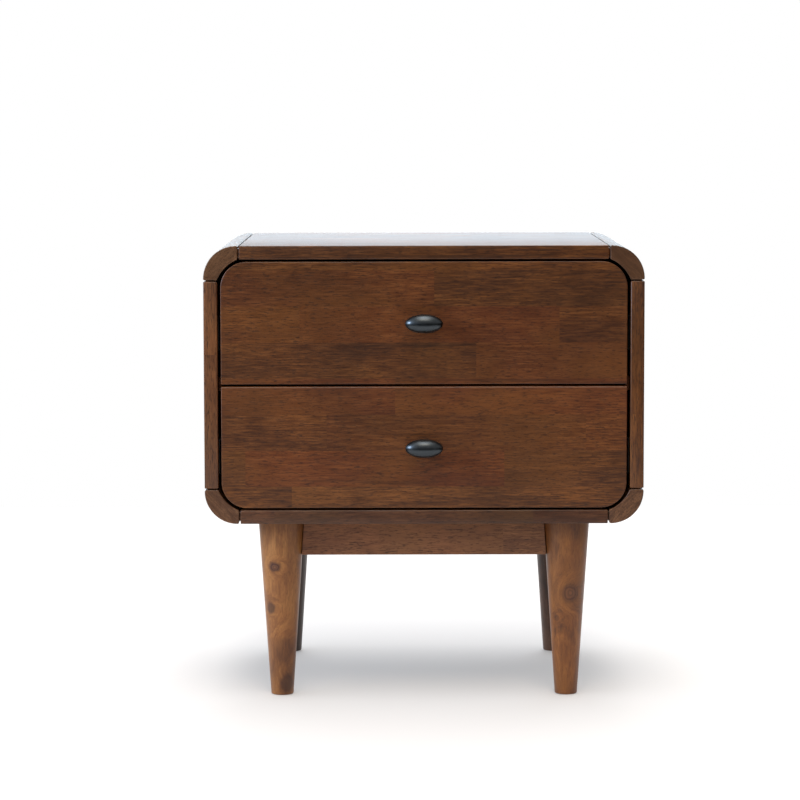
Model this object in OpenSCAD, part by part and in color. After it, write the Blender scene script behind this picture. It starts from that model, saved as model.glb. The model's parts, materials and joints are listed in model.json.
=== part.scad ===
// Two-drawer nightstand: a rounded case on four turned legs, with inset drawers on telescopic slides.
// The front faces -Y. The origin is on the floor, at the middle of the box around the whole piece,
// knobs included. Parts are drawn with y = 0 on the case's front face, and placed() moves them.

/* [Case] */
// Width of the case
case_w = 560; // [500:5:640]
// Depth of the case, front to back
case_d = 410; // [405:5:460]
// Height of the case, without its legs
case_h = 355; // [345:1:380]
// Thickness of the top, bottom and side panels
panel_t = 17.5; // [17:0.5:19]
// Length of a corner block along each of its two sides
corner_len = 43.5; // [41:0.5:46]
// Radius of a corner block's inner face
corner_inner_r = 48; // [46:1:60]
// Width of the V-groove at each corner joint
groove_w = 3.5; // [2:0.5:4]
// Depth of the V-groove
groove_depth = 2.5; // [1.5:0.5:3]
// Thickness of the back panel
back_t = 5; // [4:0.5:6]

/* [Drawer fronts] */
// Thickness of a drawer front
front_t = 19; // [18:0.5:20]
// Gap above, between and below the fronts
front_gap = 2.7; // [2:0.1:3.5]
// Gap at each side of a front
front_side_gap = 4.2; // [3:0.1:5]
// Radius of the fronts' outer corners
front_corner_r = 33; // [30:1:36]

/* [Drawer boxes] */
// Thickness of the box boards
board_t = 12; // [11:0.5:13]
// Height of a box
box_h = 118; // [100:1:120]
// Thickness of the box bottom
bottom_t = 5; // [4:0.5:6]

/* [Slides] */
// Length of the slide members and of the drawer boxes
slide_len = 350; // [300:10:350]
// Space that a slide takes between case and box
slide_t = 12.7; // [12.5:0.1:13]

/* [Knobs] */
// Length of the oval knob
knob_len = 48; // [36:1:60]
// Diameter of the oval at its middle
knob_d = 24; // [18:1:26]
// How far the knob stands out from its front
knob_reach = 27; // [25:1:32]

/* [Base] */
// Height of the legs
leg_h = 228; // [180:2:260]
// Radius of a leg at the case
leg_top_r = 29.6; // [26:0.2:31]
// Radius of a leg at the floor
leg_foot_r = 14.4; // [13:0.2:18]
// Distance from the case's side to a leg's axis
leg_inset_x = 96; // [80:1:110]
// Distance from the case's front or back to a leg's axis
leg_inset_y = 47; // [40:1:60]
// Height of the aprons
apron_h = 45.5; // [44:0.5:60]
// Thickness of the aprons
apron_t = 18; // [16:1:20]

/* [Hidden] */
$fn = 64;

walnut = "#5a3925";
leg_wood = "#7a5236";
box_wood = "#c8a878";
plywood = "#b98f5f";
gunmetal = "#46484c";
zinc = "#b4b6b8";

lower = 0;
upper = 1;
left = 0;
right = 1;
near = 0;
far = 1;

total_h = leg_h + case_h;
mid_z = leg_h + case_h / 2;
opening_w = case_w - 2 * panel_t;
opening_h = case_h - 2 * panel_t;
front_w = opening_w - 2 * front_side_gap;
front_h = (opening_h - 3 * front_gap) / 2;
front_y = (knob_reach - case_d) / 2;

rebate_w = 8;
back_inset = 2;
back_corner_r = 32;
back_y = case_d - back_inset - back_t;

dowel_r = 4;
dowel_short = 12;
dowel_long = 18;
dowel_rows = [60, case_d / 2, case_d - 60];

rail_w = 60;
rail_setback = 1;
rear_rail_gap = 10;
front_rail_y = front_t + rail_setback;
rear_rail_y = back_y - rear_rail_gap - rail_w;
rail_dowel_inset = 15;

box_w = opening_w - 2 * slide_t;
box_lift = 19;
housing = 4;
bottom_lift = 6;

metal_t = 1.2;
rail_flange_x = 11;
cabinet_rail_half = 22.5;
middle_rail_x = 3;
middle_rail_half = 18.5;
drawer_rail_x = 5.5;
drawer_rail_half = 14;
slide_y = front_t + 3;
slide_lift = 45;
slide_screw_rows = [35, slide_len / 2, slide_len - 35];

rail_screw_depth = 12;
drawer_rail_screw_depth = 9;

screw_r = 1.75;
screw_head_r = 3.5;
screw_head_h = 1.5;
back_screw_len = 18;
back_screw_up = 80;
back_screw_out = 180;

box_screw_r = 2;
box_screw_head_r = 4.5;
box_screw_head_h = 2.4;
knob_screw_depth = 12;
front_screw_depth = 14;
front_screw_out = 180;
front_screw_rows = [-20, 28];

leg_x = case_w / 2 - leg_inset_x;
leg_dy = case_d / 2 - leg_inset_y;
foot_chamfer = 1.2;
brace_near = 34;
brace_t = 18;
brace_h = 36;
brace_screw_step = 18;
brace_screw_r = 2.2;
brace_screw_head_r = 4;
brace_screw_head_h = 2.5;
brace_screw_depth = 12;
bolt_r = 4;
bolt_drop = 22;
bolt_start = 8;
bolt_spare = 4;
washer_r = 9;
washer_t = 1.6;
nut_r = 7.5;
nut_t = 6.5;
apron_dowel_start = 10;
apron_dowel_len = 40;
apron_dowel_spread = 10;

function front_mid_z(level) = mid_z + (level == upper ? 1 : -1) * (front_h + front_gap) / 2;
function box_z(level) = front_mid_z(level) - front_h / 2 + box_lift;
function slide_z(level) = box_z(level) + slide_lift;

// Moves a part from the drawing frame, with y = 0 on the case's front face, to its own place.
module placed() {
    translate([0, front_y, 0]) children();
}

// Extrudes an outline drawn in x and z from y0 towards the back.
module board(y0, depth) {
    translate([0, y0 + depth, 0]) rotate([90, 0, 0]) linear_extrude(depth) children();
}

// A cuboid from its lower and upper corners.
module block(low, high) {
    translate(low) cube(high - low);
}

// Children are drawn for the left side and mirrored for the right one.
module on_side(side) {
    mirror([side, 0, 0]) children();
}

// A rod along +X.
module rod_x(r, length) {
    rotate([0, 90, 0]) cylinder(r = r, h = length);
}

// A rod along +Y.
module rod_y(r, length) {
    rotate([-90, 0, 0]) cylinder(r = r, h = length);
}

// A pan-head screw along +Y, its head's top at y = 0.
module screw_y(r, head_r, head_h, length) {
    rod_y(head_r, head_h);
    rod_y(r, length);
}

// ---- Case ----

// A panel of the case, its inner face on y = 0, with half of a V-groove at each end of its outer face.
module panel_outline(length) {
    half = length / 2;
    polygon([
        [-half, 0], [half, 0], [half, panel_t - groove_depth], [half - groove_w / 2, panel_t],
        [-half + groove_w / 2, panel_t], [-half, panel_t - groove_depth]
    ]);
}

// A corner block from its inner corner: a quarter round outside and a flatter arc inside.
module corner_outline() {
    flat = groove_w / 2;
    outer_r = corner_len - flat;
    inner_end = corner_len - panel_t;
    half_chord = inner_end / sqrt(2);
    arc_centre = inner_end / 2 - sqrt(corner_inner_r ^ 2 - half_chord ^ 2) / sqrt(2);
    difference() {
        square(corner_len);
        difference() {
            translate([flat, flat]) square(corner_len);
            translate([flat, flat]) circle(outer_r);
        }
        translate([arc_centre, arc_centre]) circle(corner_inner_r, $fn = 96);
        polygon([[0, corner_len], [flat, corner_len], [0, corner_len - groove_depth]]);
        polygon([[corner_len, 0], [corner_len, flat], [corner_len - groove_depth, 0]]);
    }
}

module back_outline() {
    w = opening_w + 2 * rebate_w;
    h = opening_h + 2 * rebate_w;
    r = back_corner_r;
    square([w - 2 * r, h], center = true);
    square([w, h - 2 * r], center = true);
    for (sx = [-1, 1], sz = [-1, 1])
        translate([sx * (w / 2 - r), sz * (h / 2 - r)]) circle(r);
}

// Children are drawn for the top right corner, from the middle of the case.
module at_corner(mx, mz) {
    translate([0, 0, mid_z]) mirror([mx, 0, 0]) mirror([0, 0, mz]) children();
}

module dowel_solids() {
    for (mx = [0, 1], mz = [0, 1], y = dowel_rows) {
        at_corner(mx, mz)
            translate([case_w / 2 - corner_len - dowel_long, y, (case_h - panel_t) / 2])
                rod_x(dowel_r, dowel_long + dowel_short);
        at_corner(mx, mz)
            translate([(case_w - panel_t) / 2, y, case_h / 2 - corner_len - dowel_long])
                cylinder(r = dowel_r, h = dowel_long + dowel_short);
    }
    for (side = [left, right], rail_y = [front_rail_y, rear_rail_y],
         inset = [rail_dowel_inset, rail_w - rail_dowel_inset])
        on_side(side)
            translate([-opening_w / 2 - dowel_short, rail_y + inset, mid_z])
                rod_x(dowel_r, dowel_long + dowel_short);
}

module back_screw_solids() {
    across = (opening_w + rebate_w) / 2;
    up = (opening_h + rebate_w) / 2;
    at_sides = [for (x = [-across, across], z = [-back_screw_up, back_screw_up]) [x, z]];
    at_ends = [for (x = [-back_screw_out, 0, back_screw_out], z = [-up, up]) [x, z]];
    for (spot = concat(at_sides, at_ends))
        translate([spot[0], case_d - back_inset + screw_head_h, mid_z + spot[1]])
            mirror([0, 1, 0]) screw_y(screw_r, screw_head_r, screw_head_h, back_screw_len);
}

// Everything that is let into the case's panels and blocks.
module case_cuts() {
    translate([0, 0, mid_z]) board(back_y, case_d) back_outline();
    dowel_solids();
    back_screw_solids();
    cabinet_rail_screw_solids();
    brace_screw_solids();
}

module top_panel() {
    color(walnut) placed() difference() {
        board(0, case_d) translate([0, total_h - panel_t]) panel_outline(case_w - 2 * corner_len);
        case_cuts();
    }
}

module bottom_panel() {
    color(walnut) placed() difference() {
        board(0, case_d) translate([0, leg_h + panel_t]) mirror([0, 1])
            panel_outline(case_w - 2 * corner_len);
        case_cuts();
    }
}

module side_panel(side) {
    color(walnut) placed() difference() {
        on_side(side) board(0, case_d) translate([-opening_w / 2, mid_z]) rotate(90)
            panel_outline(case_h - 2 * corner_len);
        case_cuts();
    }
}

module corner_block(mx, mz) {
    color(walnut) placed() difference() {
        at_corner(mx, mz) board(0, case_d)
            translate([case_w / 2 - corner_len, case_h / 2 - corner_len]) corner_outline();
        case_cuts();
    }
}

module back_panel() {
    color(plywood) placed() difference() {
        translate([0, 0, mid_z]) board(back_y, back_t) back_outline();
        back_screw_solids();
    }
}

module divider_rail(rail_y) {
    color(walnut) placed() difference() {
        block([-opening_w / 2, rail_y, mid_z - panel_t / 2],
              [opening_w / 2, rail_y + rail_w, mid_z + panel_t / 2]);
        dowel_solids();
    }
}

module case_dowels() {
    color(box_wood) placed() dowel_solids();
}

module back_panel_screws() {
    color(zinc) placed() back_screw_solids();
}

// ---- Base ----

// Children are drawn from the front left leg's axis, with +X and +Y towards the middle of the base.
module at_leg(mx, my) {
    translate([0, case_d / 2, 0]) mirror([mx, 0, 0]) mirror([0, my, 0])
        translate([-leg_x, -leg_dy, 0]) children();
}

module leg_blank() {
    rotate_extrude() polygon([
        [0, 0], [leg_foot_r - foot_chamfer, 0], [leg_foot_r, foot_chamfer],
        [leg_top_r, leg_h], [0, leg_h]
    ]);
}

module apron_dowel_solids() {
    for (mx = [0, 1], my = [0, 1], rise = [-apron_dowel_spread, apron_dowel_spread])
        at_leg(mx, my) translate([0, 0, leg_h - bolt_drop + rise]) {
            translate([apron_dowel_start, 0, 0]) rod_x(dowel_r, apron_dowel_len);
            translate([0, apron_dowel_start, 0]) rod_y(dowel_r, apron_dowel_len);
        }
}

// Children are drawn along +X, the diagonal from the leg's axis to the middle of the base.
module on_diagonals() {
    for (mx = [0, 1], my = [0, 1]) at_leg(mx, my) rotate(45) children();
}

module bolt_solids() {
    on_diagonals() translate([bolt_start, 0, leg_h - bolt_drop])
        rod_x(bolt_r, brace_near + brace_t + washer_t + nut_t + bolt_spare - bolt_start);
}

module brace_screw_solids() {
    on_diagonals() for (side = [-1, 1])
        translate([brace_near + brace_t / 2, side * brace_screw_step,
                   leg_h - brace_h - brace_screw_head_h]) {
            cylinder(r = brace_screw_head_r, h = brace_screw_head_h);
            cylinder(r = brace_screw_r, h = brace_screw_head_h + brace_h + brace_screw_depth);
        }
}

module leg(mx, my) {
    color(leg_wood) placed() difference() {
        at_leg(mx, my) leg_blank();
        apron_dowel_solids();
        bolt_solids();
    }
}

module apron_cuts() {
    for (mx = [0, 1], my = [0, 1]) at_leg(mx, my) leg_blank();
    apron_dowel_solids();
}

module cross_apron(my) {
    y = my == near ? leg_inset_y : case_d - leg_inset_y;
    color(walnut) placed() difference() {
        block([-leg_x, y - apron_t / 2, leg_h - apron_h], [leg_x, y + apron_t / 2, leg_h]);
        apron_cuts();
    }
}

module side_apron(side) {
    color(walnut) placed() difference() {
        on_side(side) block([-leg_x - apron_t / 2, leg_inset_y, leg_h - apron_h],
                            [-leg_x + apron_t / 2, case_d - leg_inset_y, leg_h]);
        apron_cuts();
    }
}

module apron_dowels() {
    color(box_wood) placed() apron_dowel_solids();
}

module corner_braces() {
    face = apron_t / 2;
    near_end = brace_near * sqrt(2) - face;
    far_end = (brace_near + brace_t) * sqrt(2) - face;
    color(box_wood) placed() difference() {
        for (mx = [0, 1], my = [0, 1]) at_leg(mx, my) translate([0, 0, leg_h - brace_h])
            linear_extrude(brace_h)
                polygon([[face, near_end], [face, far_end], [far_end, face], [near_end, face]]);
        bolt_solids();
        brace_screw_solids();
    }
}

module brace_screws() {
    color(zinc) placed() brace_screw_solids();
}

module leg_bolts() {
    color(zinc) placed() bolt_solids();
}

module bolt_ring(x, r, t, sides) {
    on_diagonals() translate([x, 0, leg_h - bolt_drop]) rotate([0, 90, 0]) difference() {
        cylinder(r = r, h = t, $fn = sides);
        translate([0, 0, -1]) cylinder(r = bolt_r, h = t + 2);
    }
}

module leg_bolt_washers() {
    color(zinc) placed() bolt_ring(brace_near + brace_t, washer_r, washer_t, $fn);
}

module leg_bolt_nuts() {
    color(zinc) placed() bolt_ring(brace_near + brace_t + washer_t, nut_r, nut_t, 6);
}

// ---- Drawers ----

// A drawer front from its middle, with round corners on its upper side.
module front_outline() {
    r = front_corner_r;
    translate([-front_w / 2, -front_h / 2]) square([front_w, front_h - r]);
    translate([-front_w / 2 + r, -front_h / 2]) square([front_w - 2 * r, front_h]);
    for (sx = [-1, 1]) translate([sx * (front_w / 2 - r), front_h / 2 - r]) circle(r);
}

// A screw driven from inside the box, its head on the box front and its point depth deep past it.
module box_screw(x, z, depth) {
    translate([x, front_t + board_t + box_screw_head_h, z]) mirror([0, 1, 0])
        screw_y(box_screw_r, box_screw_head_r, box_screw_head_h,
                box_screw_head_h + board_t + depth);
}

module knob_screw_solid(level) {
    box_screw(0, front_mid_z(level), front_t + knob_screw_depth);
}

module front_screw_solids(level) {
    for (x = [-front_screw_out, front_screw_out], z = front_screw_rows)
        box_screw(x, front_mid_z(level) + z, front_screw_depth);
}

module front_panel(level) {
    color(walnut) placed() difference() {
        board(0, front_t) translate([0, front_mid_z(level)])
            mirror([0, level == upper ? 0 : 1]) front_outline();
        knob_screw_solid(level);
        front_screw_solids(level);
    }
}

module bottom_solid(level) {
    inner = box_w / 2 - board_t + housing;
    z = box_z(level) + bottom_lift;
    block([-inner, front_t + board_t - housing, z],
          [inner, front_t + slide_len - board_t + housing, z + bottom_t]);
}

// The box's front or back board, housed in the sides at its ends.
module end_solid(level, y) {
    inner = box_w / 2 - board_t + housing;
    z = box_z(level);
    block([-inner, y, z], [inner, y + board_t, z + box_h]);
}

module box_end(level, which) {
    color(box_wood) placed() difference() {
        end_solid(level, which == near ? front_t : front_t + slide_len - board_t);
        bottom_solid(level);
        knob_screw_solid(level);
        front_screw_solids(level);
    }
}

module box_side(level, side) {
    z = box_z(level);
    color(box_wood) placed() difference() {
        on_side(side) block([-box_w / 2, front_t, z],
                            [-box_w / 2 + board_t, front_t + slide_len, z + box_h]);
        end_solid(level, front_t);
        end_solid(level, front_t + slide_len - board_t);
        bottom_solid(level);
        drawer_rail_screw_solids(level);
    }
}

module box_bottom(level) {
    color(plywood) placed() bottom_solid(level);
}

module front_screws(level) {
    color(zinc) placed() front_screw_solids(level);
}

module knob_screw(level) {
    color(zinc) placed() knob_screw_solid(level);
}

// An oval turned about X on a short round post.
module knob(level) {
    post_r = 6.5;
    foot_r = 8.5;
    foot_t = 1.5;
    oval_y = knob_reach - knob_d / 2;
    step = 5;
    color(gunmetal) placed() difference() {
        translate([0, 0, front_mid_z(level)]) {
            translate([0, -oval_y, 0]) rotate([0, 90, 0]) rotate_extrude()
                polygon([for (a = [0:step:180]) [knob_d / 2 * sin(a), knob_len / 2 * cos(a)]]);
            translate([0, -oval_y, 0]) rod_y(post_r, oval_y);
            translate([0, -foot_t, 0]) rod_y(foot_r, foot_t);
        }
        knob_screw_solid(level);
    }
}

// ---- Slides ----

// A channel between two distances from the case side, its web on the near or the far one.
module channel_outline(x0, x1, half, web) {
    difference() {
        translate([x0, -half]) square([x1 - x0, 2 * half]);
        translate([x0 + (web == near ? metal_t : -metal_t), metal_t - half])
            square([x1 - x0, 2 * (half - metal_t)]);
    }
}

// Children are drawn from the case side's inner face and the slide's middle height.
module at_slide(level, side) {
    on_side(side) translate([-opening_w / 2, 0, slide_z(level)]) children();
}

module cabinet_rail_screw_solids() {
    for (level = [lower, upper], side = [left, right], row = slide_screw_rows)
        at_slide(level, side) translate([metal_t, slide_y + row, 0]) {
            rod_x(screw_head_r, screw_head_h);
            translate([-rail_screw_depth - metal_t, 0, 0])
                rod_x(screw_r, rail_screw_depth + metal_t);
        }
}

module drawer_rail_screw_solids(level) {
    for (side = [left, right], row = slide_screw_rows)
        at_slide(level, side) translate([slide_t - metal_t - screw_head_h, front_t + row, 0]) {
            rod_x(screw_head_r, screw_head_h);
            rod_x(screw_r, screw_head_h + metal_t + drawer_rail_screw_depth);
        }
}

module cabinet_rail(level, side) {
    color(zinc) placed() difference() {
        at_slide(level, side) board(slide_y, slide_len)
            channel_outline(0, rail_flange_x, cabinet_rail_half, near);
        cabinet_rail_screw_solids();
    }
}

module middle_rail(level, side) {
    color(zinc) placed() at_slide(level, side) board(slide_y, slide_len)
        channel_outline(middle_rail_x, rail_flange_x, middle_rail_half, near);
}

module drawer_rail(level, side) {
    color(zinc) placed() difference() {
        at_slide(level, side) board(front_t + rail_setback, slide_len - rail_setback)
            channel_outline(drawer_rail_x, slide_t, drawer_rail_half, far);
        drawer_rail_screw_solids(level);
    }
}

module cabinet_rail_screws() {
    color(zinc) placed() cabinet_rail_screw_solids();
}

module drawer_rail_screws(level) {
    color(zinc) placed() drawer_rail_screw_solids(level);
}

top_panel();
bottom_panel();
side_panel(left);  // left_side_panel
side_panel(right);  // right_side_panel
corner_block(1, 0);  // corner_block_top_left
corner_block(0, 0);  // corner_block_top_right
corner_block(1, 1);  // corner_block_bottom_left
corner_block(0, 1);  // corner_block_bottom_right
back_panel();
back_panel_screws();
divider_rail(front_rail_y);  // front_divider_rail
divider_rail(rear_rail_y);  // rear_divider_rail
case_dowels();
leg(0, 0);  // leg_front_left
leg(1, 0);  // leg_front_right
leg(0, 1);  // leg_rear_left
leg(1, 1);  // leg_rear_right
cross_apron(near);  // front_apron
cross_apron(far);  // rear_apron
side_apron(left);  // left_apron
side_apron(right);  // right_apron
apron_dowels();
corner_braces();
brace_screws();
leg_bolts();
leg_bolt_washers();
leg_bolt_nuts();
front_panel(upper);  // upper_front
box_end(upper, near);  // upper_box_front
box_end(upper, far);  // upper_box_back
box_side(upper, left);  // upper_box_left_side
box_side(upper, right);  // upper_box_right_side
box_bottom(upper);  // upper_box_bottom
front_screws(upper);  // upper_front_screws
knob(upper);  // upper_knob
knob_screw(upper);  // upper_knob_screw
front_panel(lower);  // lower_front
box_end(lower, near);  // lower_box_front
box_end(lower, far);  // lower_box_back
box_side(lower, left);  // lower_box_left_side
box_side(lower, right);  // lower_box_right_side
box_bottom(lower);  // lower_box_bottom
front_screws(lower);  // lower_front_screws
knob(lower);  // lower_knob
knob_screw(lower);  // lower_knob_screw
cabinet_rail(upper, left);  // upper_left_cabinet_rail
cabinet_rail(upper, right);  // upper_right_cabinet_rail
cabinet_rail(lower, left);  // lower_left_cabinet_rail
cabinet_rail(lower, right);  // lower_right_cabinet_rail
cabinet_rail_screws();
middle_rail(upper, left);  // upper_left_middle_rail
middle_rail(upper, right);  // upper_right_middle_rail
middle_rail(lower, left);  // lower_left_middle_rail
middle_rail(lower, right);  // lower_right_middle_rail
drawer_rail(upper, left);  // upper_left_drawer_rail
drawer_rail(upper, right);  // upper_right_drawer_rail
drawer_rail(lower, left);  // lower_left_drawer_rail
drawer_rail(lower, right);  // lower_right_drawer_rail
drawer_rail_screws(upper);  // upper_drawer_rail_screws
drawer_rail_screws(lower);  // lower_drawer_rail_screws
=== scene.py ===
import json
import math

import bmesh
import bpy
from mathutils import Matrix, Vector


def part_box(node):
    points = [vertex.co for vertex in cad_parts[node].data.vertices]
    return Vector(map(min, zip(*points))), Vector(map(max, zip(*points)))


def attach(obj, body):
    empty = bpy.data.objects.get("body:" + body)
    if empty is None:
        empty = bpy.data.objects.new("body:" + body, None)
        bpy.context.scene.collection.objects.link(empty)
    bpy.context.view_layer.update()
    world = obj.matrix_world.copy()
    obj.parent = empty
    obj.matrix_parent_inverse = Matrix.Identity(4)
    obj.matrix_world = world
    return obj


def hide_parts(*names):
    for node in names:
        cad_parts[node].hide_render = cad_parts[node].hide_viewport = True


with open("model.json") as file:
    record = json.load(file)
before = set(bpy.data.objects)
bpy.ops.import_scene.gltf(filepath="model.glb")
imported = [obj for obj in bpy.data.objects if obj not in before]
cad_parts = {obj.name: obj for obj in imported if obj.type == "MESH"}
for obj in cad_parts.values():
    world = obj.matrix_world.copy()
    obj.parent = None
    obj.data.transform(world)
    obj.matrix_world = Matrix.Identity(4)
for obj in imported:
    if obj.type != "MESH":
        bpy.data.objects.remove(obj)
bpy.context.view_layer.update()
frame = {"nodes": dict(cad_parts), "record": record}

record = frame["record"]
bodyOf = {node: body for body, nodes in record["behaviour"]["bodies"].items() for node in nodes}
slotOf = {part["node"]: part["material_slot"] for part in record["subparts"]}


def nodeBox(node):
    low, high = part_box(node)
    return Vector(low), Vector(high)


def middle(node):
    low, high = nodeBox(node)
    return (low + high) / 2


# Camera: a long lens a little above the top and a little left of the middle
print("camera")
cameraLook = {
    "lens": 135.8,
    "sensorWidth": 36,
    "sight": 100,  # metres
    "distance": 3.821,  # from the case's front face
    "left": 0.0306,
    "height": 0.753,
    "tiltDown": 5.475,  # degrees
    "roll": -0.116,
}


def makeCamera(look):
    data = bpy.data.cameras.new("camera")
    data.lens = look["lens"]
    data.sensor_width = look["sensorWidth"]
    data.clip_end = look["sight"]
    camera = bpy.data.objects.new("camera", data)
    place = Vector((-look["left"], nodeBox("top_panel")[0].y - look["distance"], look["height"]))
    tilt = Matrix.Rotation(math.radians(90 - look["tiltDown"]), 4, "X")
    roll = Matrix.Rotation(math.radians(look["roll"]), 4, "Z")
    camera.matrix_world = Matrix.Translation(place) @ tilt @ roll
    bpy.context.scene.collection.objects.link(camera)
    bpy.context.scene.camera = camera


makeCamera(cameraLook)


# An sRGB hex colour as the linear colour that lights and nodes take
def linear(hexColor):
    values = [int(hexColor[i:i + 2], 16) / 255 for i in (1, 3, 5)]
    return (*(v / 12.92 if v <= 0.04045 else ((v + 0.055) / 1.055) ** 2.4 for v in values), 1.0)


# Adds a node: values sets its options and sockets, links joins its sockets to other nodes' outputs
def addNode(tree, kind, values={}, links={}):
    node = tree.nodes.new(kind)
    for key, value in values.items():
        if isinstance(key, str) and hasattr(node, key):
            setattr(node, key, value)
        else:
            node.inputs[key].default_value = value
    for socket, source in links.items():
        tree.links.new(source, node.inputs[socket])
    return node


def setStops(node, stops):
    ramp = node.color_ramp
    while len(ramp.elements) < len(stops):
        ramp.elements.new(0.5)
    for element, (place, color) in zip(ramp.elements, stops):
        element.position = place
        element.color = color


def newMaterial(name):
    material = bpy.data.materials.new(name)
    material.use_nodes = True
    tree = material.node_tree
    tree.nodes.clear()
    return material, tree


# Studio: a white table, lit a little from below, under a dim dome with bright strips overhead, a
# cool wall far behind, and cool light and a softbox on the left
print("studio")
# The table is an opal acrylic sheet, matt and faintly lit from below, so shadows on it stay pale
studioLook = {
    "floorLow": (-1.0, -1.25),
    "floorHigh": (1.0, 1.7),
    "floorDrop": 0.0003,
    "floorParts": (8, 12),
    "floorColor": "#cdcccd",
    "floorRoughness": 0.9,
    "floorShine": 0.1,
    "floorGlow": 0.21,
    "background": "#ffffff",
}
# Each patch of sky: strength, colour and where it fades in, by direction
skyLook = [
    {"strength": 0.55, "color": "#fffaf5", "fades": [("Z", -0.02, 0.35)]},
    {"strength": 4.8, "color": "#fffcf8", "fades": [("X", -0.34, -0.1), ("X", 0.34, 0.1),
                                                    ("Y", -0.45, -0.25), ("Y", 0.75, 0.45),
                                                    ("Z", 0.0, 0.3)]},
    {"strength": 6.5, "color": "#ffefdb", "fades": [("X", -0.3, -0.1), ("X", 0.3, 0.1),
                                                    ("Y", -0.75, -0.55), ("Y", -0.25, -0.45),
                                                    ("Z", 0.0, 0.3)]},
    {"strength": 2.95, "color": "#dcf1ff", "fades": [("Y", 0.5, 0.9), ("Z", -0.1, 0.02),
                                                    ("Z", 0.6, 0.35)]},
    {"strength": 0.9, "color": "#dcebff", "fades": [("X", -0.3, -0.9), ("Z", -0.1, 0.1)]},
]
softboxes = {
    "left_softbox": {"place": (-2.0, -0.92, 1.05), "aim": (0, 0, 0.35), "size": (0.5, 0.75),
                     "power": 50, "color": "#d2e6ff"},
}


def makeFloor(look):
    low, high = Vector(look["floorLow"]), Vector(look["floorHigh"])
    centre, size = (low + high) / 2, high - low
    shape = bmesh.new()
    place = Matrix.Translation((centre.x, centre.y, -look["floorDrop"]))
    across, deep = look["floorParts"]
    bmesh.ops.create_grid(shape, x_segments=across, y_segments=deep, size=0.5,
                          matrix=place @ Matrix.Diagonal((size.x, size.y, 1, 1)))
    data = bpy.data.meshes.new("floor")
    shape.to_mesh(data)
    shape.free()
    floor = bpy.data.objects.new("floor", data)
    bpy.context.scene.collection.objects.link(floor)
    material, tree = newMaterial("opal_acrylic_sheet")
    surface = addNode(tree, "ShaderNodeBsdfPrincipled",
                      {"Base Color": linear(look["floorColor"]),
                       "Roughness": look["floorRoughness"],
                       "Specular IOR Level": look["floorShine"],
                       "Emission Color": linear(look["background"]),
                       "Emission Strength": look["floorGlow"]})
    addNode(tree, "ShaderNodeOutputMaterial", {}, {"Surface": surface.outputs[0]})
    data.materials.append(material)
    return floor


def makeSky(patches, background):
    world = bpy.data.worlds.new("studio")
    bpy.context.scene.world = world
    world.use_nodes = True
    tree = world.node_tree
    tree.nodes.clear()
    direction = addNode(tree, "ShaderNodeTexCoord").outputs["Generated"]
    axes = addNode(tree, "ShaderNodeSeparateXYZ", {}, {0: direction}).outputs
    total = None
    for patch in patches:
        factor = None
        for axis, start, end in patch["fades"]:
            fade = addNode(tree, "ShaderNodeMapRange",
                           {"interpolation_type": "SMOOTHSTEP", "From Min": start,
                            "From Max": end}, {"Value": axes[axis]}).outputs[0]
            if factor is None:
                factor = fade
            else:
                factor = addNode(tree, "ShaderNodeMath", {"operation": "MULTIPLY"},
                                 {0: factor, 1: fade}).outputs[0]
        color = Vector(linear(patch["color"])[:3]) * patch["strength"]
        part = addNode(tree, "ShaderNodeVectorMath", {"operation": "SCALE", 0: tuple(color)},
                       {"Scale": factor}).outputs[0]
        if total is None:
            total = part
        else:
            total = addNode(tree, "ShaderNodeVectorMath", {"operation": "ADD"},
                            {0: total, 1: part}).outputs[0]
    light = addNode(tree, "ShaderNodeBackground", {"Strength": 1.0}, {"Color": total})
    backdrop = addNode(tree, "ShaderNodeBackground", {"Color": linear(background)})
    seen = addNode(tree, "ShaderNodeLightPath").outputs["Is Camera Ray"]
    mix = addNode(tree, "ShaderNodeMixShader", {},
                  {0: seen, 1: light.outputs[0], 2: backdrop.outputs[0]})
    addNode(tree, "ShaderNodeOutputWorld", {}, {"Surface": mix.outputs[0]})


# A softbox is screened off from the floor, so that its shadows don't streak the sheet
def makeSoftbox(name, look, floor):
    data = bpy.data.lights.new(name, "AREA")
    data.shape = "RECTANGLE"
    data.size, data.size_y = look["size"]
    data.energy = look["power"]
    data.color = linear(look["color"])[:3]
    light = bpy.data.objects.new(name, data)
    light.location = look["place"]
    aim = Vector(look["aim"]) - light.location
    light.rotation_euler = aim.to_track_quat("-Z", "Y").to_euler()
    light.visible_camera = False
    screened = bpy.data.collections.new(name + "_screened")
    screened.objects.link(floor)
    screened.collection_objects[0].light_linking.link_state = "EXCLUDE"
    light.light_linking.receiver_collection = screened
    bpy.context.scene.collection.objects.link(light)


floor = makeFloor(studioLook)
makeSky(skyLook, studioLook["background"])
for name, look in softboxes.items():
    makeSoftbox(name, look, floor)
bpy.context.scene.view_settings.view_transform = "Standard"


# Materials
print("materials")
noiseRange = {"From Min": 0.3, "From Max": 0.7}  # nearly all of a noise's values lie in it

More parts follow.
